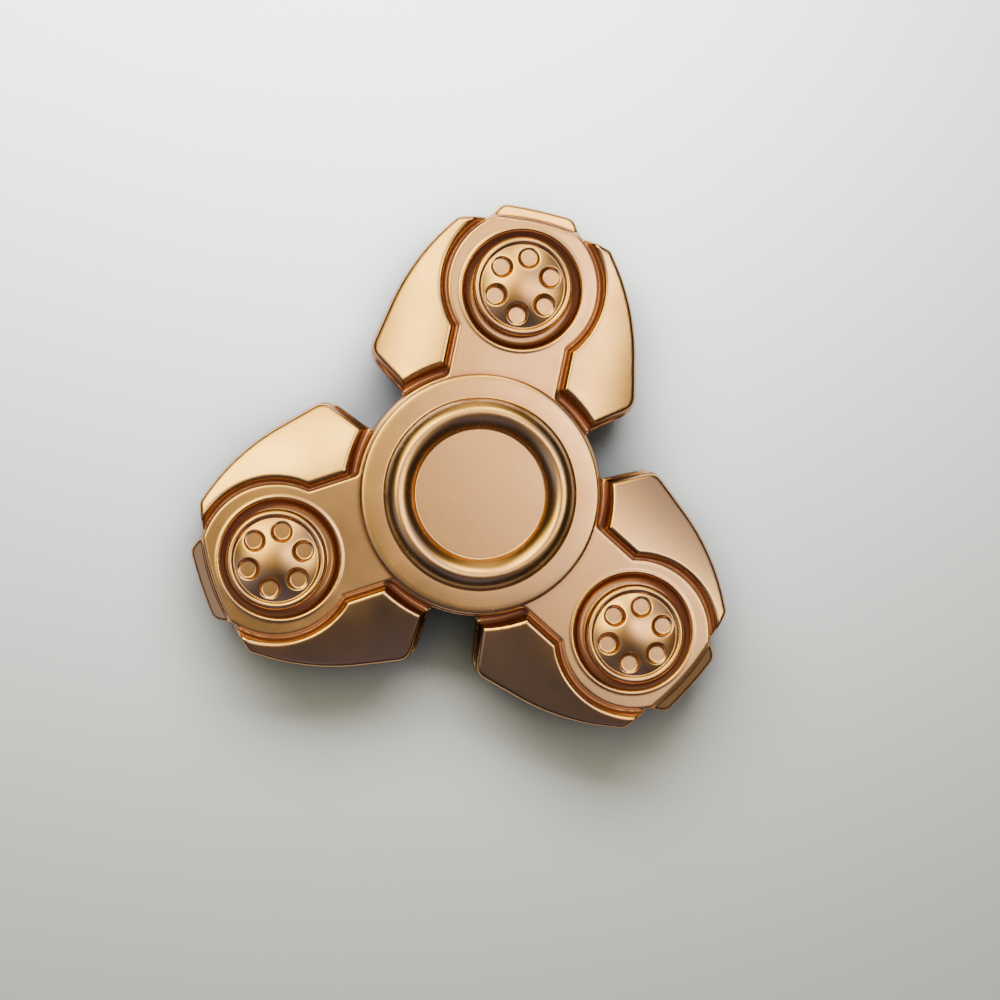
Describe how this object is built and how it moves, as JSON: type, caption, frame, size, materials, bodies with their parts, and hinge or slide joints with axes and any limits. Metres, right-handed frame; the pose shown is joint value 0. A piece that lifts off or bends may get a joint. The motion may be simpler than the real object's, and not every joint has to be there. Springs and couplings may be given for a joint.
{
  "type": "fidget spinner",
  "caption": "Metal fidget spinner with armoured arms, dimpled counterweights and finger caps on a ball bearing.",
  "frame": {"origin": "on the spin axis at mid-thickness", "axes": "+Z along the spin axis to the front cap, +Y along the first arm"},
  "size_m": [0.0598, 0.0552, 0.012],
  "materials": {
    "body_gold": "satin copper-gold plating on a zinc casting",
    "cap_gold": "turned, satin copper-gold plating",
    "weight_gold": "pressed, satin copper-gold plating",
    "bearing_steel": "ground",
    "cage_nylon": "moulded"
  },
  "bodies": {
    "holder": {"front_cap": "cap_gold", "rear_cap": "cap_gold", "inner_race": "bearing_steel"},
    "spinner": {"spinner_body": "body_gold", "outer_race": "bearing_steel", "front_shield": "bearing_steel", "rear_shield": "bearing_steel", "front_snap_ring": "bearing_steel", "rear_snap_ring": "bearing_steel", "front_weight_1": "weight_gold", "front_weight_2": "weight_gold", "front_weight_3": "weight_gold", "rear_weight_1": "weight_gold", "rear_weight_2": "weight_gold", "rear_weight_3": "weight_gold"},
    "cage": {"ball_cage": "cage_nylon"},
    "ball_01_body": {"ball_01": "bearing_steel"},
    "ball_02_body": {"ball_02": "bearing_steel"},
    "ball_03_body": {"ball_03": "bearing_steel"},
    "ball_04_body": {"ball_04": "bearing_steel"},
    "ball_05_body": {"ball_05": "bearing_steel"},
    "ball_06_body": {"ball_06": "bearing_steel"},
    "ball_07_body": {"ball_07": "bearing_steel"},
    "ball_08_body": {"ball_08": "bearing_steel"},
    "ball_09_body": {"ball_09": "bearing_steel"},
    "ball_10_body": {"ball_10": "bearing_steel"}
  },
  "joints": [
    {"name": "body_spin", "type": "hinge", "parent": "holder", "child": "spinner", "pos_m": [0, 0, 0], "axis": [0, 0, 1], "continuous": true},
    {"name": "cage_spin", "type": "hinge", "parent": "holder", "child": "cage", "pos_m": [0, 0, 0], "axis": [0, 0, 1], "continuous": true},
    {"name": "ball_01_spin", "type": "hinge", "parent": "cage", "child": "ball_01_body", "pos_m": [0.00476, 0, 0], "axis": [0, 0, 1], "continuous": true},
    {"name": "ball_02_spin", "type": "hinge", "parent": "cage", "child": "ball_02_body", "pos_m": [0.00385, 0.0028, 0], "axis": [0, 0, 1], "continuous": true},
    {"name": "ball_03_spin", "type": "hinge", "parent": "cage", "child": "ball_03_body", "pos_m": [0.00147, 0.00453, 0], "axis": [0, 0, 1], "continuous": true},
    {"name": "ball_04_spin", "type": "hinge", "parent": "cage", "child": "ball_04_body", "pos_m": [-0.00147, 0.00453, 0], "axis": [0, 0, 1], "continuous": true},
    {"name": "ball_05_spin", "type": "hinge", "parent": "cage", "child": "ball_05_body", "pos_m": [-0.00385, 0.0028, 0], "axis": [0, 0, 1], "continuous": true},
    {"name": "ball_06_spin", "type": "hinge", "parent": "cage", "child": "ball_06_body", "pos_m": [-0.00476, 0, 0], "axis": [0, 0, 1], "continuous": true},
    {"name": "ball_07_spin", "type": "hinge", "parent": "cage", "child": "ball_07_body", "pos_m": [-0.00385, -0.0028, 0], "axis": [0, 0, 1], "continuous": true},
    {"name": "ball_08_spin", "type": "hinge", "parent": "cage", "child": "ball_08_body", "pos_m": [-0.00147, -0.00453, 0], "axis": [0, 0, 1], "continuous": true},
    {"name": "ball_09_spin", "type": "hinge", "parent": "cage", "child": "ball_09_body", "pos_m": [0.00147, -0.00453, 0], "axis": [0, 0, 1], "continuous": true},
    {"name": "ball_10_spin", "type": "hinge", "parent": "cage", "child": "ball_10_body", "pos_m": [0.00385, -0.0028, 0], "axis": [0, 0, 1], "continuous": true}
  ],
  "couplings": [
    {"joint": "cage_spin", "follows": "body_spin", "ratio": 0.5834},
    {"joint": "ball_01_spin", "follows": "body_spin", "ratio": 2.9157},
    {"joint": "ball_02_spin", "follows": "body_spin", "ratio": 2.9157},
    {"joint": "ball_03_spin", "follows": "body_spin", "ratio": 2.9157},
    {"joint": "ball_04_spin", "follows": "body_spin", "ratio": 2.9157},
    {"joint": "ball_05_spin", "follows": "body_spin", "ratio": 2.9157},
    {"joint": "ball_06_spin", "follows": "body_spin", "ratio": 2.9157},
    {"joint": "ball_07_spin", "follows": "body_spin", "ratio": 2.9157},
    {"joint": "ball_08_spin", "follows": "body_spin", "ratio": 2.9157},
    {"joint": "ball_09_spin", "follows": "body_spin", "ratio": 2.9157},
    {"joint": "ball_10_spin", "follows": "body_spin", "ratio": 2.9157}
  ]
}
